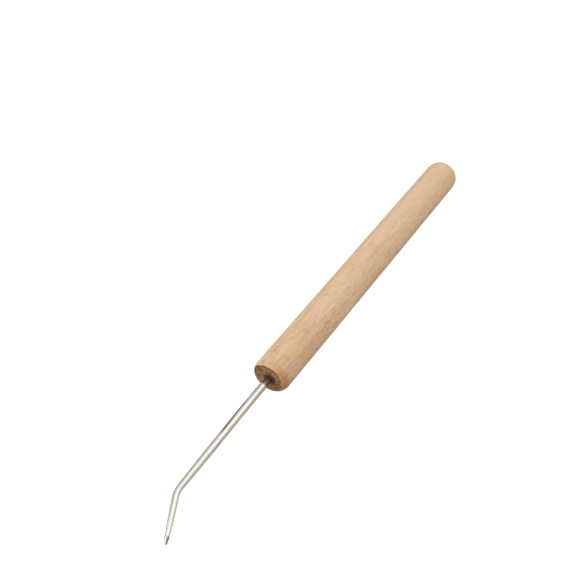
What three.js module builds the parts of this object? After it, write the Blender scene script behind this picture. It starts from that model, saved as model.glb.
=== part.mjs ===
// A beekeeper's uncapping needle: a round beech handle with a bent steel needle glued into its front end.
//
// Millimetres, +Z up. The tool lies on the plane z = 0, as it comes to rest on a table: the handle's
// underside and the needle's tip both touch it. X runs along the handle, with the butt at +X and the
// needle at -X. The origin is on the table, in the middle of the tool's length and width.
//
// Every piece is turned about X, with x = 0 at the handle's front face. The needle is turned straight,
// with its taper and its point, and is then bent downwards and rolled until its tip meets the table.

import * as THREE from "three";

// Handle
const HANDLE_LENGTH = 120;
const HANDLE_RADIUS = 6;
const FRONT_ROUNDING = { axial: 2.8, radial: 1 };
const BUTT_ROUNDING = { axial: 4, radial: 1.4 };
const BORE_RADIUS = 1.7;
const BORE_DEPTH = 26;
const DRILL_POINT_ANGLE = THREE.MathUtils.degToRad(118);

// Needle
const WIRE_RADIUS = 1.2;
const TANG_LENGTH = 25;
const TANG_CHAMFER = 0.3;
const FACE_TO_TAPER = 30;
const FACE_TO_BEND_CORNER = 45.4;
const BEND_CORNER_TO_TIP = 14.1;
const BEND_ANGLE = THREE.MathUtils.degToRad(29.9);
const BEND_RADIUS = 6;
const BEND_WIRE_RADIUS = 1;
const POINT_LENGTH = 1.6;
const POINT_BASE_RADIUS = 0.64;
const TIP_RADIUS = 0.28;

// The point is ground mostly on the outer side of the bend, so its middle turns a little further down.
const POINT_LEAN = THREE.MathUtils.degToRad(15);

// The shank isn't quite straight: just outside the handle it bows a little, to the side it is bent to.
const FACE_TO_BOW = 2;
const BOW_LENGTH = 12;
const BOW_ANGLE = THREE.MathUtils.degToRad(1.15);

// Glue round the tang: it stops short of the front face, and just clears the wood and the steel.
const GLUE_SETBACK = 0.4;
const GLUE_CLEARANCE = 0.1;

// Facets
const HANDLE_SIDES = 32;
const WIRE_SIDES = 20;
const ROUNDING_STEPS = 6;
const BOW_STEPS = 3;
const TAPER_STEPS = 4;
const BEND_STEPS = 8;
const TIP_STEPS = 3;

// Lengths along the wire. The bend is an arc that touches both of the straight stretches beside it.
const BEND_TANGENT = BEND_RADIUS * Math.tan(BEND_ANGLE / 2);
const FACE_TO_BEND = FACE_TO_BEND_CORNER - BEND_TANGENT;
const BEND_LENGTH = BEND_RADIUS * BEND_ANGLE;
const BEND_TO_POINT = BEND_CORNER_TO_TIP - BEND_TANGENT - POINT_LENGTH;
const FACE_TO_POINT = FACE_TO_BEND + BEND_LENGTH + BEND_TO_POINT;
const FACE_TO_TIP = FACE_TO_POINT + POINT_LENGTH;

// The wire's centre line from the front face to the tip: stretches, each with the angle it turns by.
const STRETCHES = [
  { length: FACE_TO_BOW, turn: 0 },
  { length: BOW_LENGTH, turn: BOW_ANGLE },
  { length: FACE_TO_BEND - FACE_TO_BOW - BOW_LENGTH, turn: 0 },
  { length: BEND_LENGTH, turn: BEND_ANGLE },
  { length: BEND_TO_POINT, turn: 0 },
  { length: POINT_LENGTH, turn: POINT_LEAN },
];

// The point of the centre line that is a length along the wire from the front face, and how far the
// wire has turned downwards there. Inside the handle the length is negative, and the wire is straight.
function centreLine(along) {
  let x = Math.max(0, -along);
  let z = 0;
  let heading = 0;
  let left = Math.max(0, along);
  for (const { length, turn } of STRETCHES) {
    const step = Math.min(left, length);
    const halfTurn = (turn * step) / length / 2;
    const chord = halfTurn ? (step * Math.sin(halfTurn)) / halfTurn : step;
    x -= chord * Math.cos(heading + halfTurn);
    z -= chord * Math.sin(heading + halfTurn);
    heading += 2 * halfTurn;
    left -= step;
  }
  return { x, z, heading };
}

// Numbers from one value to another in even steps, with both ends.
function evenly(from, to, steps) {
  return Array.from({ length: steps + 1 }, (_, i) => from + ((to - from) * i) / steps);
}

// A solid of revolution about X. Its outline is a list of [x, radius] from the axis back to the axis,
// and it runs towards +X along the outside. The flat sides touch the true round from outside, and one
// of them faces straight down, so that the handle lies on it.
function turned(outline, sides) {
  const halfSide = Math.PI / sides;
  const cornerRadius = (radius) => radius / Math.cos(halfSide);
  const profile = outline.map(([x, radius]) => new THREE.Vector2(cornerRadius(radius), x));
  return new THREE.LatheGeometry(profile, sides, halfSide).rotateZ(-Math.PI / 2);
}

// The rounded edge of one end of the handle, from the end face to the side, as a quarter ellipse.
// Inwards is 1 or -1: the way along X from that end into the handle.
function roundedEdge(endX, inwards, { axial, radial }) {
  return evenly(0, Math.PI / 2, ROUNDING_STEPS).map((angle) => [
    endX + inwards * axial * (1 - Math.cos(angle)),
    HANDLE_RADIUS - radial * (1 - Math.sin(angle)),
  ]);
}

// A dowel with both ends rounded over, and a drilled blind bore in the middle of its front end.
function handleGeometry() {
  const drillPoint = BORE_RADIUS / Math.tan(DRILL_POINT_ANGLE / 2);
  const outline = [
    [BORE_DEPTH + drillPoint, 0],
    [BORE_DEPTH, BORE_RADIUS],
    [0, BORE_RADIUS],
    ...roundedEdge(0, 1, FRONT_ROUNDING),
    ...roundedEdge(HANDLE_LENGTH, -1, BUTT_ROUNDING).reverse(),
    [HANDLE_LENGTH, 0],
  ];
  return turned(outline, HANDLE_SIDES);
}

// How far a value has come on its way from start to end, from 0 to 1.
function progress(start, end, value) {
  return THREE.MathUtils.clamp((value - start) / (end - start), 0, 1);
}

// The wire thins evenly from the taper's start to the bend, and then more and more to the point's base.
function wireRadius(along) {
  const shankTaper = progress(FACE_TO_TAPER, FACE_TO_BEND_CORNER, along);
  const endTaper = progress(FACE_TO_BEND_CORNER, FACE_TO_POINT, along) ** 2;
  return (
    WIRE_RADIUS -
    (WIRE_RADIUS - BEND_WIRE_RADIUS) * shankTaper -
    (BEND_WIRE_RADIUS - POINT_BASE_RADIUS) * endTaper
  );
}

// The needle before it is bent: a cone with a rounded tip, the tapered wire, and a chamfered tang.
function straightNeedle() {
  const coneAngle = Math.atan2(POINT_BASE_RADIUS - TIP_RADIUS, POINT_LENGTH - TIP_RADIUS);
  const tip = evenly(0, Math.PI / 2 - coneAngle, TIP_STEPS).map((angle) => [
    TIP_RADIUS * (1 - Math.cos(angle)) - FACE_TO_TIP,
    TIP_RADIUS * Math.sin(angle),
  ]);
  const stations = [
    ...evenly(FACE_TO_POINT, FACE_TO_BEND + BEND_LENGTH, TAPER_STEPS),
    ...evenly(FACE_TO_BEND + BEND_LENGTH, FACE_TO_BEND, BEND_STEPS).slice(1),
    ...evenly(FACE_TO_BEND, FACE_TO_TAPER, TAPER_STEPS).slice(1),
    ...evenly(FACE_TO_BOW + BOW_LENGTH, FACE_TO_BOW, BOW_STEPS),
  ];
  const outline = [
    ...tip,
    ...stations.map((along) => [-along, wireRadius(along)]),
    [TANG_LENGTH - TANG_CHAMFER, WIRE_RADIUS],
    [TANG_LENGTH, WIRE_RADIUS - TANG_CHAMFER],
    [TANG_LENGTH, 0],
  ];
  return turned(outline, WIRE_SIDES);
}

// Each cross-section of the straight needle moves to its place on the centre line, and turns with it.
function needleGeometry() {
  const geometry = straightNeedle();
  const position = geometry.getAttribute("position");
  for (let i = 0; i < position.count; i++) {
    const { x, z, heading } = centreLine(-position.getX(i));
    const above = position.getZ(i);
    position.setX(i, x - above * Math.sin(heading));
    position.setZ(i, z + above * Math.cos(heading));
  }
  geometry.computeVertexNormals();
  return geometry;
}

// A thin cup of glue: its wall lies between the tang and the bore, and its floor under the tang's end.
function glueGeometry() {
  const inner = WIRE_RADIUS + GLUE_CLEARANCE;
  const outer = BORE_RADIUS - GLUE_CLEARANCE;
  const outline = [
    [TANG_LENGTH + GLUE_CLEARANCE, 0],
    [TANG_LENGTH + GLUE_CLEARANCE, inner],
    [GLUE_SETBACK, inner],
    [GLUE_SETBACK, outer],
    [BORE_DEPTH - GLUE_CLEARANCE, outer],
    [BORE_DEPTH - GLUE_CLEARANCE, 0],
  ];
  return turned(outline, WIRE_SIDES);
}

function piece(name, geometry, color, roughness, metalness) {
  const material = new THREE.MeshStandardMaterial({ color, roughness, metalness });
  const mesh = new THREE.Mesh(geometry, material);
  mesh.name = name;
  return mesh;
}

const handle = piece("handle", handleGeometry(), 0xd2ac86, 0.6, 0);
const needle = piece("needle", needleGeometry(), 0xd9d6cc, 0.25, 1);
const glue = piece("tang_adhesive", glueGeometry(), 0x4a2f1a, 0.4, 0);

// The tip's rounded end swings round the handle's axis until it is as low as the handle's underside.
const tipCentre = centreLine(FACE_TO_TIP - TIP_RADIUS);
needle.rotation.x = -Math.acos((HANDLE_RADIUS - TIP_RADIUS) / -tipCentre.z);

const tool = new THREE.Group();
tool.add(handle, needle, glue);
const needleReach = tipCentre.x - TIP_RADIUS;
tool.position.set(-(HANDLE_LENGTH + needleReach) / 2, 0, HANDLE_RADIUS);

const root = new THREE.Group();
root.add(tool);

export default root;
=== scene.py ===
import math

import bmesh
import bpy
from mathutils import Matrix, Vector, noise


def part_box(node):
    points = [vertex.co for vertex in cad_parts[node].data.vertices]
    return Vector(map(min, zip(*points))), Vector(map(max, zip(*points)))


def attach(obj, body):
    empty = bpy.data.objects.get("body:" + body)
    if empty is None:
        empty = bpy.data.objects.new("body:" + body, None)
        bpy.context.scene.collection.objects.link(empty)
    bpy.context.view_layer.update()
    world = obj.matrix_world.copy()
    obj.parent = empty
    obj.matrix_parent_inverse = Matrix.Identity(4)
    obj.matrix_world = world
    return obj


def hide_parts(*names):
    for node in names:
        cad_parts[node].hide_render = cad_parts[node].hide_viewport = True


# The looks of an uncapping needle: a round beech handle, a bent steel needle, and the glue between them.
#
# Shapes are worked out in the tool's own frame, in millimetres: x runs back from the handle's front face
# along its axis, and z is up. The needle is made straight along -x and is then bent and rolled, as the
# CAD part does it, with the same driving dimensions.

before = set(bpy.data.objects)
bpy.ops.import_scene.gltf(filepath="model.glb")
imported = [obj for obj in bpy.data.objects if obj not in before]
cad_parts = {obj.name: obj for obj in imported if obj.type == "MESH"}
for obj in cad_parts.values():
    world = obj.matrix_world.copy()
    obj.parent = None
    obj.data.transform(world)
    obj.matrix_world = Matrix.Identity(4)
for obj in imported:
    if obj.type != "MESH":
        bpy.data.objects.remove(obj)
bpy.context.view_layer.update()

MM = 0.001
HANDLE_LOW, HANDLE_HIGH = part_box("handle")
TOOL_ORIGIN = Vector((HANDLE_LOW.x, 0, (HANDLE_LOW.z + HANDLE_HIGH.z) / 2))
HANDLE_LENGTH = (HANDLE_HIGH.x - HANDLE_LOW.x) / MM
HANDLE_RADIUS = (HANDLE_HIGH.z - HANDLE_LOW.z) / 2 / MM

# Handle: each rounded edge is a quarter ellipse, (length along the axis, height across it).
FRONT_ROUNDING = (2.8, 1)
BUTT_ROUNDING = (4, 1.4)
BORE_RADIUS = 1.7
BORE_DEPTH = 26
DRILL_POINT_ANGLE = math.radians(118)

# The front edge is crisp round one angle and soft round another: (that angle, how wide it is). The
# shares say how much shorter and lower the rounding is where crisp, and how much higher where soft.
CRISP_EDGE = (math.radians(20), math.radians(60))
SOFT_EDGE = (math.radians(-125), math.radians(55))
CRISP_SHORTER = 0.5
CRISP_LOWER = 0.35
SOFT_HIGHER = 0.8

# Depths of the rings of points inside the bore, closer together near its mouth, and then its broken
# rim as (depth, radius). The face's own rings start just outside it.
BORE_STATIONS = (BORE_DEPTH, 12, 6, 4, 3, 2.2, 1.6, 1.2, 0.9, 0.65, 0.45)
BORE_RIM = [(0.28, BORE_RADIUS), (0.14, BORE_RADIUS), (0.04, BORE_RADIUS + 0.03)]
FACE_START = BORE_RADIUS + 0.1

# Marks of making: how far they reach and how deep they go. Points nearer the axis than ON_AXIS stay.
ON_AXIS = 1e-6
FACE_WEAR_DEPTH = 0.9
TORN_REACH = 1
TORN_WIDTH = 0.12
TORN_DEPTH = 0.25
SAWN_DEPTH = 0.05
SIDE_UNEVENNESS = 0.02
EDGE_UNEVENNESS = 0.035

HANDLE_SIDES = 180
ROUNDING_STEPS = 14
SIDE_STEPS = 84
FACE_STEPS = 22
BUTT_FACE_STEPS = 12

# Needle
WIRE_RADIUS = 1.2
TANG_LENGTH = 25
TANG_CHAMFER = 0.3
FACE_TO_TAPER = 30
FACE_TO_BEND_CORNER = 45.4
BEND_CORNER_TO_TIP = 14.1
BEND_ANGLE = math.radians(29.9)
BEND_RADIUS = 6
BEND_WIRE_RADIUS = 1
POINT_LENGTH = 1.6
POINT_BASE_RADIUS = 0.64
TIP_RADIUS = 0.28
POINT_LEAN = math.radians(15)
FACE_TO_BOW = 2
BOW_LENGTH = 12
BOW_ANGLE = math.radians(1.15)
WIRE_SIDES = 56

# The bend was hammered: there the wire is a little wider and flatter, by these shares.
HAMMERED_REACH = 3.2
HAMMERED_WIDER = 0.01
HAMMERED_FLATTER = 0.05
WIRE_UNEVENNESS = 0.006

# Steps along the needle.
TIP_STEPS = 6
POINT_STEPS = 16
PAST_BEND_STEPS = 30
BEND_STEPS = 20
SHANK_STEPS = 90
TANG_STEPS = 24

BEND_TANGENT = BEND_RADIUS * math.tan(BEND_ANGLE / 2)
FACE_TO_BEND = FACE_TO_BEND_CORNER - BEND_TANGENT
BEND_LENGTH = BEND_RADIUS * BEND_ANGLE
BEND_TO_POINT = BEND_CORNER_TO_TIP - BEND_TANGENT - POINT_LENGTH
FACE_TO_POINT = FACE_TO_BEND + BEND_LENGTH + BEND_TO_POINT
FACE_TO_TIP = FACE_TO_POINT + POINT_LENGTH

# The wire's centre line from the front face to the tip: (length, angle it turns by).
STRETCHES = [
    (FACE_TO_BOW, 0),
    (BOW_LENGTH, BOW_ANGLE),
    (FACE_TO_BEND - FACE_TO_BOW - BOW_LENGTH, 0),
    (BEND_LENGTH, BEND_ANGLE),
    (BEND_TO_POINT, 0),
    (POINT_LENGTH, POINT_LEAN),
]

# Glue: it stops short of the front face, creeps forward at the wire and the wood, and is uneven.
GLUE_SETBACK = 0.3
GLUE_CREEP = 0.12
GLUE_UNEVENNESS = 0.25
GLUE_CLEARANCE = 0.04
GLUE_SIDES = 64
GLUE_FRONT_STEPS = 8
GLUE_STATIONS = (12, 4, 2)


# ---------------------------------------------------------------- shapes

def evenly(start, end, steps):
    """Numbers from start to end in even steps, with both ends."""
    return [start + (end - start) * i / steps for i in range(steps + 1)]


def progress(start, end, value):
    """How far a value has come on its way from start to end, from 0 to 1."""
    return min(1, max(0, (value - start) / (end - start)))


def smooth_progress(start, end, value):
    """How far a value has come, from 0 to 1, but starting and ending gently."""
    share = progress(start, end, value)
    return share * share * (3 - 2 * share)


def rough(point, size, seed=0):
    """Smooth noise from -1 to 1 whose bumps are about size across."""
    return noise.noise(Vector(point) / size + Vector((seed * 17.3, seed * 5.1, seed * 9.7)))


def turned(x, radius, angle):
    """A point at a radius from the axis. Angles start at the top and turn towards +y."""
    return Vector((x, radius * math.sin(angle), radius * math.cos(angle)))


def around(x, radius, sides):
    """A ring of points round the axis, starting at the top."""
    return [turned(x, radius, 2 * math.pi * i / sides) for i in range(sides)]


def rings_of(outline, sides):
    """One ring for each (x, radius) of an outline, and a single point where the radius is 0."""
    return [around(x, r, sides) if r > 0 else [Vector((x, 0, 0))] for x, r in outline]


def join(build, row, following):
    """Faces between two rings, either of which may be a single point."""
    count = max(len(row), len(following))
    for i in range(count):
        j = (i + 1) % count
        corners = [row[i % len(row)], row[j % len(row)]]
        corners += [following[j % len(following)], following[i % len(following)]]
        build.faces.new(list(dict.fromkeys(corners)))


def loft(name, rings, straight=None, sharp=math.radians(38)):
    """A closed mesh through rings of points. straight holds each point's place before any bending."""
    build = bmesh.new()
    kept = build.verts.layers.float_vector.new("straight")
    rows = []
    for ring, plain in zip(rings, straight or rings):
        row = [build.verts.new(TOOL_ORIGIN + point * MM) for point in ring]
        for vert, point in zip(row, plain):
            vert[kept] = point
        rows.append(row)
    for row, following in zip(rows, rows[1:]):
        join(build, row, following)
    bmesh.ops.recalc_face_normals(build, faces=build.faces)
    for face in build.faces:
        face.smooth = True
    for edge in build.edges:
        edge.smooth = edge.calc_face_angle(0) < sharp
    mesh = bpy.data.meshes.new(name)
    build.to_mesh(mesh)
    build.free()
    obj = bpy.data.objects.new(name, mesh)
    bpy.context.scene.collection.objects.link(obj)
    return obj


def rounded_edge(end_x, inwards, rounding):
    """The outline of one rounded end of the handle, from the end face to the side."""
    axial, radial = rounding
    turns = evenly(0, math.pi / 2, ROUNDING_STEPS)
    return [
        (end_x + inwards * axial * (1 - math.cos(a)), HANDLE_RADIUS - radial * (1 - math.sin(a)))
        for a in turns
    ]


def bump_at(angle, middle, width):
    """1 at an angle round the handle, falling smoothly to 0 on both sides of it."""
    apart = (angle - middle + math.pi) % (2 * math.pi) - math.pi
    return math.exp(-((apart / width) ** 2))


def front_rounding(angle):
    """The front edge was eased by hand: it is crisp at one place and rounder at another."""
    axial, radial = FRONT_ROUNDING
    crisp = bump_at(angle, *CRISP_EDGE)
    soft = bump_at(angle, *SOFT_EDGE)
    length = axial * (1 - CRISP_SHORTER * crisp)
    return length, radial * (1 - CRISP_LOWER * crisp + SOFT_HIGHER * soft)


def handle_outline(angle):
    """The handle's outline at one angle round its axis, from the bore's end to the middle of the butt."""
    drill_point = BORE_RADIUS / math.tan(DRILL_POINT_ANGLE / 2)
    rounding = front_rounding(angle)
    front_edge = rounded_edge(0, 1, rounding)
    butt_edge = rounded_edge(HANDLE_LENGTH, -1, BUTT_ROUNDING)[::-1]
    face_radius = HANDLE_RADIUS - rounding[1]
    butt_radius = HANDLE_RADIUS - BUTT_ROUNDING[1]
    bore = [(depth, BORE_RADIUS) for depth in BORE_STATIONS]
    face = [(0, r) for r in evenly(FACE_START, face_radius, FACE_STEPS)[:-1]]
    side = [(x, HANDLE_RADIUS) for x in evenly(front_edge[-1][0], butt_edge[0][0], SIDE_STEPS)[1:-1]]
    butt = [(HANDLE_LENGTH, r) for r in evenly(butt_radius, 0, BUTT_FACE_STEPS)[1:]]
    start = [(BORE_DEPTH + drill_point, 0)]
    return start + bore + BORE_RIM + face + front_edge + side + butt_edge + butt


def worn_handle_point(point):
    """Small marks of making: a torn bore rim, a sawn front face, and a side that isn't quite round."""
    x = point.x
    across = Vector((0, point.y, point.z))
    radius = across.length
    if radius < ON_AXIS:
        return point
    outwards = across / radius
    near_face = 1 - smooth_progress(0, FACE_WEAR_DEPTH, x)
    rim = near_face * (1 - smooth_progress(BORE_RADIUS, BORE_RADIUS + TORN_REACH, radius))
    torn = max(0, rough(across, 0.7, 1) + 0.1)
    moved = Vector(point)
    if radius < BORE_RADIUS + TORN_REACH:
        moved += outwards * TORN_WIDTH * torn * rim
        moved.x += TORN_DEPTH * torn * rim
    on_face = 1 - smooth_progress(0, 0.5, x)
    grain = rough(across, 1.6, 2) + 0.4 * rough(across, 0.45, 3)
    moved.x += on_face * SAWN_DEPTH * (1 + grain)
    on_side = smooth_progress(BORE_RADIUS + 2.5, HANDLE_RADIUS, radius)
    swell = rough((x / 9, point.y / 5, point.z / 5), 1, 4)
    edge = rough((x / 1.5, point.y / 1.2, point.z / 1.2), 1, 5) * (1 - smooth_progress(0, 3, x))
    worn = SIDE_UNEVENNESS * (1 + swell) + EDGE_UNEVENNESS * (1 + edge) * near_face
    return moved - outwards * on_side * worn


def make_handle():
    angles = [2 * math.pi * i / HANDLE_SIDES for i in range(HANDLE_SIDES)]
    columns = [[turned(x, r, angle) for x, r in handle_outline(angle)] for angle in angles]
    rings = [list(ring) for ring in zip(*columns)]
    rings[0] = rings[0][:1]
    rings[-1] = rings[-1][:1]
    return loft("handle_turned", [[worn_handle_point(p) for p in ring] for ring in rings])


def centre_line(along):
    """The wire's middle at a length along it from the front face, and how far it has turned there."""
    x = max(0, -along)
    z = 0
    heading = 0
    left = max(0, along)
    for length, turn in STRETCHES:
        step = min(left, length)
        half_turn = turn * step / length / 2
        chord = step * math.sin(half_turn) / half_turn if half_turn else step
        x -= chord * math.cos(heading + half_turn)
        z -= chord * math.sin(heading + half_turn)
        heading += 2 * half_turn
        left -= step
    return x, z, heading


def wire_radius(along):
    shank_taper = progress(FACE_TO_TAPER, FACE_TO_BEND_CORNER, along)
    end_taper = progress(FACE_TO_BEND_CORNER, FACE_TO_POINT, along) ** 2
    thinner = (WIRE_RADIUS - BEND_WIRE_RADIUS) * shank_taper
    return WIRE_RADIUS - thinner - (BEND_WIRE_RADIUS - POINT_BASE_RADIUS) * end_taper


def needle_outline():
    """The straight needle from its tip to the end of its tang."""
    cone = math.atan2(POINT_BASE_RADIUS - TIP_RADIUS, POINT_LENGTH - TIP_RADIUS)
    turns = evenly(0, math.pi / 2 - cone, TIP_STEPS)
    tip = [
        (TIP_RADIUS * (1 - math.cos(a)) - FACE_TO_TIP, TIP_RADIUS * math.sin(a)) for a in turns
    ]
    cone_x, cone_radius = tip[-1]
    wider = POINT_BASE_RADIUS - cone_radius
    point = [
        (-along, cone_radius + wider * progress(-cone_x, FACE_TO_POINT, along))
        for along in evenly(-cone_x, FACE_TO_POINT, POINT_STEPS)[1:-1]
    ]
    end_of_bend = FACE_TO_BEND + BEND_LENGTH
    stations = evenly(FACE_TO_POINT, end_of_bend, PAST_BEND_STEPS)
    stations += evenly(end_of_bend, FACE_TO_BEND, BEND_STEPS)[1:]
    stations += evenly(FACE_TO_BEND, 0, SHANK_STEPS)[1:]
    stations += evenly(0, TANG_CHAMFER - TANG_LENGTH, TANG_STEPS)[1:]
    tang = [(TANG_LENGTH, WIRE_RADIUS - TANG_CHAMFER), (TANG_LENGTH, 0)]
    return tip + point + [(-along, wire_radius(along)) for along in stations] + tang


# The needle is rolled about the handle's axis until its tip is as low as the handle's underside.
TIP_CENTRE_Z = centre_line(FACE_TO_TIP - TIP_RADIUS)[1]
NEEDLE_ROLL = Matrix.Rotation(-math.acos((HANDLE_RADIUS - TIP_RADIUS) / -TIP_CENTRE_Z), 3, "X")

# A flat ground on the point: the way it faces as (towards the tip, sideways, to the outer side of the
# bend), and its distance from the tip's own middle.
POINT_FLAT_WAY = Vector((0.22, -0.93, -0.27)).normalized()
POINT_FLAT_DISTANCE = 0.2
TIP_MIDDLE = Vector((TIP_RADIUS - FACE_TO_TIP, 0, 0))
POINT_FLAT_FACING = Vector((-POINT_FLAT_WAY.x, POINT_FLAT_WAY.y, POINT_FLAT_WAY.z))


def ground(point):
    """A point of the straight needle, pushed back onto the flat ground on its end."""
    proud = (point - TIP_MIDDLE).dot(POINT_FLAT_FACING) - POINT_FLAT_DISTANCE
    return point - POINT_FLAT_FACING * max(0, proud)


def drawn(point):
    """A point of the straight needle with the small unevenness of drawn and hammered wire."""
    along = -point.x
    at_bend = math.exp(-(((along - FACE_TO_BEND_CORNER) / HAMMERED_REACH) ** 2))
    swell = 1 + WIRE_UNEVENNESS * rough((along / 6, point.y, point.z), 1.5, 6) * progress(0, 2, along)
    wider = swell * (1 + HAMMERED_WIDER * at_bend)
    flatter = swell * (1 - HAMMERED_FLATTER * at_bend)
    return Vector((point.x, point.y * wider, point.z * flatter))


def bent(point):
    """A point of the straight needle where it lies on the finished one."""
    x, z, heading = centre_line(-point.x)
    across = Vector((x - point.z * math.sin(heading), point.y, z + point.z * math.cos(heading)))
    return NEEDLE_ROLL @ across


def make_needle():
    straight = [[ground(drawn(p)) for p in ring] for ring in rings_of(needle_outline(), WIRE_SIDES)]
    return loft("needle_wire", [[bent(p) for p in ring] for ring in straight], straight)


def glue_front(share, angle):
    """How far behind the front face the glue's surface lies, from the wire (0) to the wood (1)."""
    creep = GLUE_CREEP * (2 * share - 1) ** 2
    uneven = noise.noise(Vector((math.cos(angle) * 1.1, math.sin(angle) * 1.1, 3.7)))
    return GLUE_SETBACK + GLUE_UNEVENNESS * max(-0.5, uneven) - creep


def glue_point(point, outer, inner):
    """The front ring points of the glue, moved back to its uneven surface."""
    radius = math.hypot(point.y, point.z)
    share = progress(inner, outer, radius)
    return Vector((glue_front(share, math.atan2(point.y, point.z)), point.y, point.z))


def make_glue():
    inner = WIRE_RADIUS + GLUE_CLEARANCE
    outer = BORE_RADIUS - GLUE_CLEARANCE
    floor_x = TANG_LENGTH + GLUE_CLEARANCE
    back_x = BORE_DEPTH - GLUE_CLEARANCE
    outline = [(floor_x, 0)] + [(x, inner) for x in (floor_x, *GLUE_STATIONS)]
    front = len(outline)
    outline += [(GLUE_SETBACK, r) for r in evenly(inner, outer, GLUE_FRONT_STEPS)]
    back = len(outline)
    outline += [(x, outer) for x in (*GLUE_STATIONS[::-1], back_x)] + [(back_x, 0)]
    rings = rings_of(outline, GLUE_SIDES)
    for i in range(front, back):
        rings[i] = [glue_point(p, outer, inner) for p in rings[i]]
    return loft("glue_bead", rings)


# ---------------------------------------------------------------- material graphs

def fill_ramp(node, stops):
    """Sets a colour ramp's stops from (place, colour) pairs."""
    elements = node.color_ramp.elements
    while len(elements) < len(stops):
        elements.new(0.5)
    for element, (place, colour) in zip(elements, stops):
        element.position = place
        element.color = (*colour, 1)


class Graph:
    """One node material, built with short calls. A value may be a number, a colour or a socket."""

    def __init__(self, name):
        self.material = bpy.data.materials.new(name)
        self.material.use_nodes = True
        self.tree = self.material.node_tree
        self.tree.nodes.clear()

    def node(self, kind, inputs=None, **settings):
        """A shader node of one kind, with its settings made and its inputs fed."""
        made = self.tree.nodes.new("ShaderNode" + kind)
        for key, value in settings.items():
            setattr(made, key, value)
        for key, value in (inputs or {}).items():
            self.feed(made.inputs[key], value)
        return made

    def feed(self, socket, value):
        """Links a socket to an input, or sets the input's own value."""
        if isinstance(value, bpy.types.NodeSocket):
            self.tree.links.new(value, socket)
        elif isinstance(value, (tuple, Vector)) and len(value) == 3 and socket.type == "RGBA":
            socket.default_value = (*value, 1)
        else:
            socket.default_value = value

    def math(self, operation, first, second=0.0):
        return self.node("Math", {0: first, 1: second}, operation=operation).outputs[0]

    def add(self, *values):
        total = values[0]
        for value in values[1:]:
            total = self.math("ADD", total, value)
        return total

    def parts(self, vector):
        """A vector's x, y and z."""
        return tuple(self.node("SeparateXYZ", {0: vector}).outputs)

    def less_half(self, value):
        """Noise from 0 to 1 as a number on both sides of 0."""
        return self.math("SUBTRACT", value, 0.5)

    def times(self, *values):
        product = values[0]
        for value in values[1:]:
            product = self.math("MULTIPLY", product, value)
        return product

    def ramp(self, value, low, high, out_low=0.0, out_high=1.0):
        """A value's smooth progress from low to high, as a number from out_low to out_high."""
        inputs = {"Value": value, "From Min": low, "From Max": high}
        inputs.update({"To Min": out_low, "To Max": out_high})
        return self.node("MapRange", inputs, interpolation_type="SMOOTHSTEP").outputs[0]

    def mapped(self, vector, sizes=(1, 1, 1), rotation=(0, 0, 0), location=(0, 0, 0)):
        """The vector turned, and then divided by the three sizes and moved."""
        rotated = self.node("Mapping", {"Vector": vector, "Rotation": rotation}).outputs[0]
        scale = tuple(1 / size for size in sizes)
        return self.node("Mapping", {"Vector": rotated, "Scale": scale, "Location": location}).outputs[0]

    def noise(self, vector, sizes, detail=2.0, roughness=0.5, seed=0.0):
        """Noise from 0 to 1 whose features have the given sizes along the vector's three ways."""
        place = self.mapped(vector, sizes, location=(seed * 3.1, seed * 7.7, seed * 1.3))
        inputs = {"Vector": place, "Scale": 1.0, "Detail": detail, "Roughness": roughness}
        return self.node("TexNoise", inputs).outputs["Fac"]

    def cells(self, vector, sizes, seed=0.0):
        """(distance from the nearest cell's middle, a random number for that cell)"""
        place = self.mapped(vector, sizes, location=(seed * 2.3, seed * 4.9, seed * 6.1))
        cell = self.node("TexVoronoi", {"Vector": place, "Scale": 1.0, "Randomness": 1.0})
        chance = self.node("SeparateColor", {0: cell.outputs["Color"]}).outputs[0]
        return cell.outputs["Distance"], chance

    def colours(self, value, stops):
        """A value from 0 to 1 turned into a colour."""
        made = self.node("ValToRGB", {"Fac": value})
        fill_ramp(made, stops)
        return made.outputs["Color"]

    def mix(self, share, first, second, blend="MIX"):
        made = self.node("Mix", data_type="RGBA", blend_type=blend)
        self.feed(made.inputs[0], share)
        self.feed(made.inputs[6], first)
        self.feed(made.inputs[7], second)
        return made.outputs[2]

    def bump(self, height, depth):
        """Shading relief, where height runs from 0 to 1 and depth is in millimetres."""
        inputs = {"Height": height, "Distance": depth * MM, "Strength": 1.0}
        return self.node("Bump", inputs).outputs["Normal"]

    def finish(self, **inputs):
        """The material's one shader. Its inputs are named with underscores for spaces."""
        named = {key.replace("_", " "): value for key, value in inputs.items()}
        shader = self.node("BsdfPrincipled", named)
        self.node("OutputMaterial", {"Surface": shader.outputs[0]})
        return self.material


def tool_place(g):
    """The place of the shaded point in the tool's own frame, in millimetres."""
    coords = g.node("TexCoord").outputs["Object"]
    scale = (1 / MM, 1 / MM, 1 / MM)
    location = tuple(-value / MM for value in TOOL_ORIGIN)
    return g.node("Mapping", {"Vector": coords, "Scale": scale, "Location": location}).outputs[0]


# ---------------------------------------------------------------- wood

# The wood's own directions: the fibres lean a little off the handle's axis, and the growth rings are
# shells round a pith far below it, so the top of the handle is a flat-sawn side.
FIBRE_LEAN = math.radians(2.5)
RING_TURN = math.radians(-12)
PITH_DISTANCE = 55
RING_WIDTH = 2.6

# The dark sawn face: its middle lies a little off the axis, because the edge was eased unevenly. Round
# the bore the face is darkened further, a painted shade of the bore and the needle, more so on one side.
# Neither reaches far behind the face.
FACE_MIDDLE = (0, 0.35, -0.05)
DARK_FACE_RADIUS = 5.05
DARK_FACE_DEPTH = (1.6, 1.1)
BORE_SHADE_MIDDLE = (0, -0.5, 0.35)
BORE_SHADE_REACH = (2.35, 1.3)
BORE_SHADE_DARKNESS = 0.42
RIM_COLOUR = (0.13, 0.046, 0.017)
EASED_TINT = (0.80, 0.62, 0.43)

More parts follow.
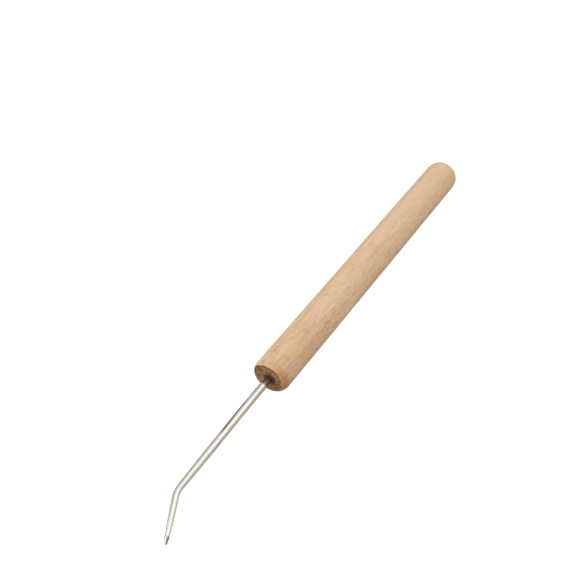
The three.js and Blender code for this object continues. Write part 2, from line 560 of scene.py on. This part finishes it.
# The butt was sanded, so its end grain shows less.
BUTT_GRAIN_SHARE = 0.35
BUTT_GRAIN_DEPTH = (0.9, 0.05)
WOOD_RELIEF = 0.05

SIDE_STOPS = [
    (0.0, (0.69, 0.530, 0.375)),
    (0.3, (0.59, 0.413, 0.268)),
    (0.6, (0.45, 0.276, 0.150)),
    (1.0, (0.26, 0.130, 0.056)),
]
END_STOPS = [
    (0.0, (0.44, 0.255, 0.127)),
    (0.4, (0.26, 0.141, 0.069)),
    (0.7, (0.13, 0.063, 0.028)),
    (1.0, (0.05, 0.024, 0.011)),
]

# Tints of the side, and how dark each surface is on the whole, as a place on its own stops.
YELLOW_TINT = (1.0, 0.985, 0.93)
# The next two tints are painted warm shade on the -y side, which faces away from the light; the second
# adds more of it near the front, over the x range that follows them.
SHADED_SIDE_TINT = (0.985, 0.95, 0.91)
FRONT_SHADED_SIDE_TINT = (0.94, 0.905, 0.86)
SHADED_SIDE_FADE = (32, 14)
SIDE_TONE = 0.26
FRONT_TONE = 0.44
BUTT_TONE = 0.1


def wood_frame(g, place):
    """(along the fibres, round the rings, out from the pith) in millimetres, a little wavy."""
    leaning = g.mapped(g.mapped(place, rotation=(RING_TURN, 0, 0)), rotation=(0, 0, FIBRE_LEAN))
    along, side, up = g.parts(leaning)
    wave = g.less_half(g.noise(leaning, (34, 9, 9), detail=2, seed=1))
    wander = g.less_half(g.noise(leaning, (22, 5, 5), detail=1, seed=2))
    from_pith = g.add(up, PITH_DISTANCE)
    reach = g.math("SQRT", g.add(g.times(side, side), g.times(from_pith, from_pith)))
    out = g.add(reach, -PITH_DISTANCE, g.times(wave, 3.0))
    return g.node("CombineXYZ", {0: along, 1: g.add(side, g.times(wander, 0.9)), 2: out}).outputs[0]


def ring_band(g, wood):
    """Growth rings, from 0 in the early wood to 1 at the dense end of each year."""
    year = g.math("FRACT", g.math("DIVIDE", g.parts(wood)[2], RING_WIDTH))
    return g.times(g.ramp(year, 0.25, 0.92), g.ramp(year, 0.94, 1.0, 1.0, 0.0))


def flecks(g, wood, sizes, biggest, seed):
    """Ray flecks: dark lenses, thin round the rings, tall along the fibres and long out from the pith."""
    distance, chance = g.cells(wood, sizes, seed)
    size = g.ramp(chance, 0.15, 1.0, 0.0, biggest)
    return g.ramp(g.math("SUBTRACT", size, distance), -0.04, 0.1)


def distance_from(g, place, middle):
    """How far a place is from a line along the axis through the middle."""
    _, y, z = g.parts(g.node("VectorMath", {0: place, 1: middle}, operation="SUBTRACT").outputs[0])
    return g.math("SQRT", g.add(g.times(y, y), g.times(z, z)))


def side_darkness(g, wood, ring, x):
    """How dark the wood's side is, from 0 to 1, with its fibres and its flecks for the relief."""
    streaks = g.less_half(g.noise(wood, (13, 0.38, 0.7), detail=3, roughness=0.6, seed=5))
    fibres = g.noise(wood, (3.8, 0.11, 0.18), detail=4, roughness=0.7, seed=6)
    cloud = g.less_half(g.noise(wood, (11, 2.8, 3.0), detail=3, seed=7))
    dashes = flecks(g, wood, (2.4, 0.16, 4), 0.5, 1)
    patches = flecks(g, wood, (5.0, 0.8, 9), 0.28, 2)
    figure = g.ramp(x, 25, 105, 1.1, 0.6)
    tone = g.add(g.times(streaks, 0.5), g.times(g.less_half(fibres), 0.95), g.times(cloud, 0.34))
    marks = g.add(g.times(dashes, 0.19), g.times(patches, 0.25))
    tone = g.add(g.times(g.add(tone, marks), figure), g.times(ring, 0.08))
    return g.add(tone, SIDE_TONE), fibres, dashes


def side_colour(g, place, wood, tone):
    """The wood's side: yellower in clouds, and browner on the -y side, which is painted warm shade where
    the side faces away from the light.
    """
    tint = g.noise(wood, (12, 2.6, 2.6), detail=2, seed=8)
    side = g.colours(tone, SIDE_STOPS)
    side = g.mix(g.ramp(tint, 0.35, 0.65), side, YELLOW_TINT, "MULTIPLY")
    x, y, _ = g.parts(place)
    # Painted warm shade: browner towards -y, the side turned away from the light.
    shaded_side = g.ramp(g.add(y, g.times(g.less_half(tint), 6.0)), 3.0, -3.0)
    side = g.mix(shaded_side, side, SHADED_SIDE_TINT, "MULTIPLY")
    near_front = g.ramp(x, *SHADED_SIDE_FADE)
    return g.mix(g.times(shaded_side, near_front), side, FRONT_SHADED_SIDE_TINT, "MULTIPLY")


def eased_edge(g, place, side):
    """The front edge, rubbed smooth and darker than the side: an orange brown, more so at -y."""
    x, y, _ = g.parts(place)
    patchy = g.noise(place, (1.7, 1.7, 1.7), detail=4, roughness=0.6, seed=11)
    reach = g.add(x, g.times(g.less_half(patchy), 3.2), g.times(y, 0.1))
    near = g.ramp(reach, 2.9, 1.0)
    depth = g.ramp(g.add(patchy, g.times(y, -0.03)), 0.36, 0.68, 0.2, 1.0)
    return g.mix(g.times(near, depth), side, EASED_TINT, "MULTIPLY")


def end_darkness(g, place, wood, ring):
    """How dark the end grain is, from 0 to 1, with its pores and its smears for the relief."""
    pores, _ = g.cells(place, (5, 0.16, 0.16), 3)
    pits = g.ramp(pores, 0.42, 0.18)
    rays = g.noise(wood, (9, 0.2, 4), detail=3, roughness=0.65, seed=9)
    smear = g.noise(place, (1.3, 1.0, 1.0), detail=4, roughness=0.6, seed=10)
    tone = g.add(g.times(g.less_half(rays), 1.0), g.times(g.less_half(smear), 1.7))
    return g.add(tone, g.times(pits, 0.12), g.times(ring, 0.12)), pits, rays, smear


def front_edge_place(g, place):
    """How far outside the dark face's boundary a place is, in millimetres, along a torn line."""
    uneven = g.less_half(g.noise(place, (0.9, 0.9, 0.9), detail=3, seed=4))
    return g.add(distance_from(g, place, FACE_MIDDLE), -DARK_FACE_RADIUS, g.times(uneven, 0.8))


def crisp_rim(g, place, outside):
    """A dark reddish line along the part of the face's edge that was left crisp."""
    _, y, z = g.parts(place)
    middle = turned(0, 1 / HANDLE_RADIUS, CRISP_EDGE[0])
    way = g.add(g.times(y, middle.y), g.times(z, middle.z))
    broken = g.noise(place, (0.8, 0.8, 0.8), detail=2, seed=18)
    line = g.ramp(g.math("ABSOLUTE", g.add(outside, 0.12)), 0.45, 0.15)
    return g.times(line, g.ramp(way, 0.15, 0.5), g.ramp(broken, 0.3, 0.55, 0.45, 1.0))


def beech():
    g = Graph("beech_wood")
    place = tool_place(g)
    x = g.parts(place)[0]
    wood = wood_frame(g, place)
    ring = ring_band(g, wood)
    tone, fibres, dashes = side_darkness(g, wood, ring, x)
    side = eased_edge(g, place, side_colour(g, place, wood, tone))
    end_tone, pits, rays, smear = end_darkness(g, place, wood, ring)
    # Painted shade round the bore mouth, darker on one side.
    bore_shade_edge = g.add(distance_from(g, place, BORE_SHADE_MIDDLE), g.times(g.less_half(smear), 2.4))
    bore_shade = g.ramp(bore_shade_edge, *BORE_SHADE_REACH)
    front = g.colours(g.add(end_tone, FRONT_TONE, g.times(bore_shade, BORE_SHADE_DARKNESS)), END_STOPS)
    butt = g.mix(BUTT_GRAIN_SHARE, side, g.colours(g.add(end_tone, BUTT_TONE), END_STOPS))

    outside = front_edge_place(g, place)
    near_face = g.ramp(x, *DARK_FACE_DEPTH)
    front_share = g.times(g.ramp(outside, 0.12, -0.12), near_face)
    butt_edge = g.add(x, g.times(g.less_half(smear), 0.4))
    butt_share = g.ramp(butt_edge, *(HANDLE_LENGTH - depth for depth in BUTT_GRAIN_DEPTH))
    colour = g.mix(butt_share, g.mix(front_share, side, front), butt)
    colour = g.mix(g.times(crisp_rim(g, place, outside), near_face), colour, RIM_COLOUR)

    pores_fine = g.noise(wood, (1.1, 0.07, 0.09), detail=2, seed=12)
    relief = g.add(g.times(fibres, 0.7), g.times(dashes, -0.35), g.times(pores_fine, 0.4))
    end_relief = g.add(g.times(pits, -0.5), g.times(rays, 0.8), smear)
    share = g.math("MAXIMUM", front_share, butt_share)
    height = g.node("Mix", {0: share, 2: relief, 3: end_relief}, data_type="FLOAT").outputs[0]
    roughness = g.add(0.56, g.times(fibres, 0.16), g.times(share, 0.12))
    normal = g.bump(height, WOOD_RELIEF)
    return g.finish(Base_Color=colour, Roughness=roughness, Normal=normal, Specular_IOR_Level=0.35)


# ---------------------------------------------------------------- steel and glue

STEEL_STOPS = [
    (0.0, (0.69, 0.66, 0.578)),
    (0.35, (0.59, 0.562, 0.485)),
    (0.7, (0.46, 0.43, 0.36)),
    (1.0, (0.27, 0.235, 0.18)),
]
GLUE_STOPS = [
    (0.25, (0.060, 0.030, 0.015)),
    (0.55, (0.13, 0.070, 0.036)),
    (0.8, (0.22, 0.13, 0.070)),
]

# Tints and colours of the needle's different stretches. Their places are x of the straight needle,
# from where the change starts to where it is complete.
# Past the bend the steel's colour is lifted: painted light, so that the bent end's reflections look
# brighter.
PAST_BEND = (-43, -48)
PAST_BEND_PAINTED_LIGHT = (1.21, 1.25, 1.28)
DULL_STRETCH = (-16, -5)
DULL_TINT = (0.9, 0.88, 0.86)
# At the root the wire is brown: partly a glue stain, mostly a painted reflection of the dark end face,
# pale on its +y side and darker on its -y side as painted shade.
ROOT_START = (-3.2, -2.3)
ROOT_STAIN_AND_REFLECTION_COLOURS = ((0.50, 0.40, 0.31), (0.24, 0.17, 0.12))
POINT_START = (2.8 - FACE_TO_TIP, 1.7 - FACE_TO_TIP)
POINT_TINT = (0.58, 0.58, 0.57)
# The very end of the tip and the flat ground on the point are painted dark grey: painted shade where they
# face away from the light.
END_START = (0.9 - FACE_TO_TIP, 0.3 - FACE_TO_TIP)
TIP_END_SHADE_SHARE = 0.8
TIP_SHADE_COLOUR = (0.30, 0.29, 0.265)
GROUND_START = (2.5 - FACE_TO_TIP, 1.5 - FACE_TO_TIP)
GROUND_EDGE = (0.06, 0.01)

# The dark line, a painted reflection: how far to -y it lies at its middle, how it drifts from there, how
# far from its own middle it starts and is darkest, and the places along the wire where it fades in and
# out.
REFLECTED_LINE_COLOUR = (0.14, 0.13, 0.12)
LINE_SIDE = 0.06
LINE_MIDDLE = 12
LINE_DRIFT = -0.035
LINE_WIDTH = (0.42, 0.2)
LINE_START = (-26, -21)
LINE_END = (-9.5, -13)


def ground_flat(g, straight):
    """1 on the flat ground on the point, 0 elsewhere."""
    from_tip = g.node("VectorMath", {0: straight, 1: TIP_MIDDLE}, operation="SUBTRACT").outputs[0]
    facing = {0: from_tip, 1: POINT_FLAT_FACING}
    height = g.node("VectorMath", facing, operation="DOT_PRODUCT").outputs["Value"]
    near_tip = g.ramp(g.parts(straight)[0], *GROUND_START)
    on_flat = g.ramp(height, *(POINT_FLAT_DISTANCE - short for short in GROUND_EDGE))
    return g.times(on_flat, near_tip)


def painted_dark_reflection(g, straight):
    """A painted reflection: a thin dark line along the upper side, on part of the shank."""
    x, y, z = g.parts(straight)
    broken = g.less_half(g.noise(straight, (3.5, 0.5, 0.5), detail=2, seed=19))
    drift = g.times(g.add(x, LINE_MIDDLE), LINE_DRIFT)
    off = g.math("ABSOLUTE", g.add(y, LINE_SIDE, drift, g.times(broken, 0.2)))
    stretch = g.times(g.ramp(x, *LINE_START), g.ramp(x, *LINE_END))
    return g.times(g.ramp(off, *LINE_WIDTH), g.ramp(z, 0.0, 0.3), stretch)


def root_stain_and_reflection(g, y):
    """The needle's root: partly a glue stain, mostly a painted reflection of the dark end face, pale
    brown on its +y side and a dark brown painted shade on the other.
    """
    return g.mix(g.ramp(y, 0.5, -0.6), *ROOT_STAIN_AND_REFLECTION_COLOURS)


def steel():
    g = Graph("bright_steel_wire")
    straight = g.node("Attribute", attribute_name="straight").outputs["Vector"]
    x, y, _ = g.parts(straight)
    lines = g.noise(straight, (14, 0.09, 0.09), detail=3, roughness=0.65, seed=13)
    stain = g.noise(straight, (3.0, 0.7, 0.7), detail=3, seed=14)
    haze = g.noise(straight, (9, 2.0, 2.0), detail=2, seed=15)

    tone = g.add(g.times(g.less_half(lines), 0.5), g.times(g.ramp(stain, 0.55, 0.8), 0.35))
    colour = g.colours(g.add(tone, 0.3), STEEL_STOPS)
    # Painted light: the steel past the bend is made brighter.
    colour = g.mix(g.ramp(x, *PAST_BEND), colour, PAST_BEND_PAINTED_LIGHT, "MULTIPLY")
    dull = g.ramp(x, *DULL_STRETCH)
    colour = g.mix(dull, colour, DULL_TINT, "MULTIPLY")
    # Root: a glue stain with a painted reflection of the end face and painted shade on the -y side.
    root = g.ramp(g.add(x, g.times(y, -0.35), g.times(g.less_half(haze), 0.8)), *ROOT_START)
    colour = g.mix(root, colour, root_stain_and_reflection(g, y))
    point = g.ramp(x, *POINT_START)
    colour = g.mix(point, colour, POINT_TINT, "MULTIPLY")
    colour = g.mix(painted_dark_reflection(g, straight), colour, REFLECTED_LINE_COLOUR)
    end = g.ramp(x, *END_START, 0.0, TIP_END_SHADE_SHARE)
    # Painted shade on the flat ground and on the very end of the tip.
    colour = g.mix(g.math("MAXIMUM", ground_flat(g, straight), end), colour, TIP_SHADE_COLOUR)

    roughness = g.add(0.08, g.times(haze, 0.07), g.times(g.ramp(stain, 0.5, 0.8), 0.10))
    roughness = g.add(roughness, g.times(dull, 0.1), g.times(root, 0.15), g.times(point, 0.3))
    normal = g.bump(lines, 0.006)
    return g.finish(Base_Color=colour, Metallic=1.0, Roughness=roughness, Normal=normal)


def cured_glue():
    g = Graph("cured_glue")
    place = tool_place(g)
    cloudy = g.noise(place, (0.9, 0.6, 0.6), detail=3, seed=16)
    colour = g.colours(cloudy, GLUE_STOPS)
    roughness = g.ramp(cloudy, 0.3, 0.8, 0.5, 0.65)
    normal = g.bump(g.noise(place, (0.3, 0.25, 0.25), detail=2, seed=17), 0.03)
    return g.finish(Base_Color=colour, Roughness=roughness, Normal=normal, Specular_IOR_Level=0.2)


# ---------------------------------------------------------------- studio

CAMERA_AZIMUTH = math.radians(-57.29)
CAMERA_ELEVATION = math.radians(44.72)
CAMERA_AIM = Vector((9.2, 18.41, 0)) * MM
CAMERA_DISTANCE = 299.5 * MM
SENSOR_WIDTH = 36
LENS = 54.71
CLIP_START = 10 * MM

# The floor reflects FLOOR_BOUNCE of the light onto the tool. The camera sees it glow by FLOOR_LIFT and
# reflect FLOOR_SHOWN, so it looks white and keeps faint shadows.
FLOOR_REACH = 6
FLOOR_Z = -0.02 * MM
FLOOR_BOUNCE = 0.51
FLOOR_WARMTH = 0.97
FLOOR_LIFT = 0.9
FLOOR_SHOWN = 0.2

# Softboxes: (name, where it stands, width, power in watts). Each faces the tool.
SOFTBOXES = [
    ("left_softbox", Vector((-0.80, 0.46, 0.36)), 0.6, 4.85),
    ("back_softbox", Vector((0.40, -0.24, 0.56)), 0.34, 0.36),
]

SOFTBOX_COLOUR = (1.0, 0.99, 0.97)

# The room is brightest in one direction and dims away from it: (cosine of the angle to it, colour).
SKY_AXIS = Vector((0.18, -0.26, 0.95)).normalized()
SKY_STRENGTH = 1.5
BACKGROUND_STRENGTH = 1.05
SKY_STOPS = [
    (0.0, (0.42, 0.415, 0.405)),
    (0.3, (0.47, 0.465, 0.455)),
    (0.65, (0.62, 0.617, 0.61)),
    (0.95, (1.0, 1.0, 1.0)),
]


def away(azimuth, elevation):
    """The direction from the aim to a camera at that azimuth and elevation."""
    flat = math.cos(elevation)
    return Vector((math.sin(azimuth) * flat, -math.cos(azimuth) * flat, math.sin(elevation)))


def add_camera():
    data = bpy.data.cameras.new("camera")
    data.lens = LENS
    data.sensor_width = SENSOR_WIDTH
    data.clip_start = CLIP_START
    camera = bpy.data.objects.new("camera", data)
    back = away(CAMERA_AZIMUTH, CAMERA_ELEVATION)
    camera.location = CAMERA_AIM + back * CAMERA_DISTANCE
    camera.rotation_mode = "QUATERNION"
    camera.rotation_quaternion = (-back).to_track_quat("-Z", "Y")
    bpy.context.scene.collection.objects.link(camera)
    bpy.context.scene.camera = camera


def floor_material():
    """Pale paper: bright enough to show white, with its contact shadows kept faint."""
    g = Graph("pale_floor")
    is_seen = g.node("LightPath").outputs["Is Camera Ray"]
    bounce = g.node("BsdfDiffuse", {"Color": (FLOOR_BOUNCE, FLOOR_BOUNCE, FLOOR_BOUNCE * FLOOR_WARMTH)})
    paper = g.node("BsdfDiffuse", {"Color": (FLOOR_SHOWN, FLOOR_SHOWN, FLOOR_SHOWN)})
    glow = g.node("Emission", {"Color": (1, 1, 1), "Strength": FLOOR_LIFT})
    shown = g.node("AddShader", {0: paper.outputs[0], 1: glow.outputs[0]})
    mixed = g.node("MixShader", {0: is_seen, 1: bounce.outputs[0], 2: shown.outputs[0]})
    g.node("OutputMaterial", {"Surface": mixed.outputs[0]})
    return g.material


def add_floor():
    mesh = bpy.data.meshes.new("floor")
    sides = (-FLOOR_REACH, FLOOR_REACH)
    corners = [(x, y, FLOOR_Z) for x in sides for y in sides]
    mesh.from_pydata(corners, [], [(0, 2, 3, 1)])
    mesh.materials.append(floor_material())
    floor = bpy.data.objects.new("floor", mesh)
    bpy.context.scene.collection.objects.link(floor)


def add_softbox(name, place, width, power):
    data = bpy.data.lights.new(name, "AREA")
    data.shape = "SQUARE"
    data.size = width
    data.energy = power
    data.color = SOFTBOX_COLOUR
    light = bpy.data.objects.new(name, data)
    light.location = place
    light.rotation_mode = "QUATERNION"
    light.rotation_quaternion = (-place).to_track_quat("-Z", "Y")
    bpy.context.scene.collection.objects.link(light)


def add_world():
    """A white room: plain white where the camera sees it, and the sky above where it lights the tool."""
    world = bpy.data.worlds.new("room")
    world.use_nodes = True
    tree = world.node_tree
    tree.nodes.clear()
    make = tree.nodes.new
    direction = make("ShaderNodeTexCoord")
    nearness = make("ShaderNodeVectorMath")
    nearness.operation = "DOT_PRODUCT"
    nearness.inputs[1].default_value = SKY_AXIS
    sky = make("ShaderNodeValToRGB")
    fill_ramp(sky, SKY_STOPS)
    lit = make("ShaderNodeBackground")
    lit.inputs["Strength"].default_value = SKY_STRENGTH
    seen = make("ShaderNodeBackground")
    seen.inputs["Color"].default_value = (1, 1, 1, 1)
    seen.inputs["Strength"].default_value = BACKGROUND_STRENGTH
    ray = make("ShaderNodeLightPath")
    mixed = make("ShaderNodeMixShader")
    out = make("ShaderNodeOutputWorld")
    link = tree.links.new
    link(direction.outputs["Generated"], nearness.inputs[0])
    link(nearness.outputs["Value"], sky.inputs[0])
    link(sky.outputs[0], lit.inputs["Color"])
    link(ray.outputs["Is Camera Ray"], mixed.inputs[0])
    link(lit.outputs[0], mixed.inputs[1])
    link(seen.outputs[0], mixed.inputs[2])
    link(mixed.outputs[0], out.inputs[0])
    bpy.context.scene.world = world


# ---------------------------------------------------------------- assembly

def dress(obj, material, slot, *nodes):
    """Gives a piece its material and its body, and hides the CAD nodes it stands for. Its slot is not
    used.
    """
    obj.data.materials.append(material)
    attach(obj, "root")
    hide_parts(*nodes)


add_camera()
add_floor()
for softbox in SOFTBOXES:
    add_softbox(*softbox)
add_world()
bpy.context.scene.view_settings.view_transform = "Standard"

dress(make_handle(), beech(), "beech", "handle")
dress(make_needle(), steel(), "steel_wire", "needle")
dress(make_glue(), cured_glue(), "cured_glue", "tang_adhesive")
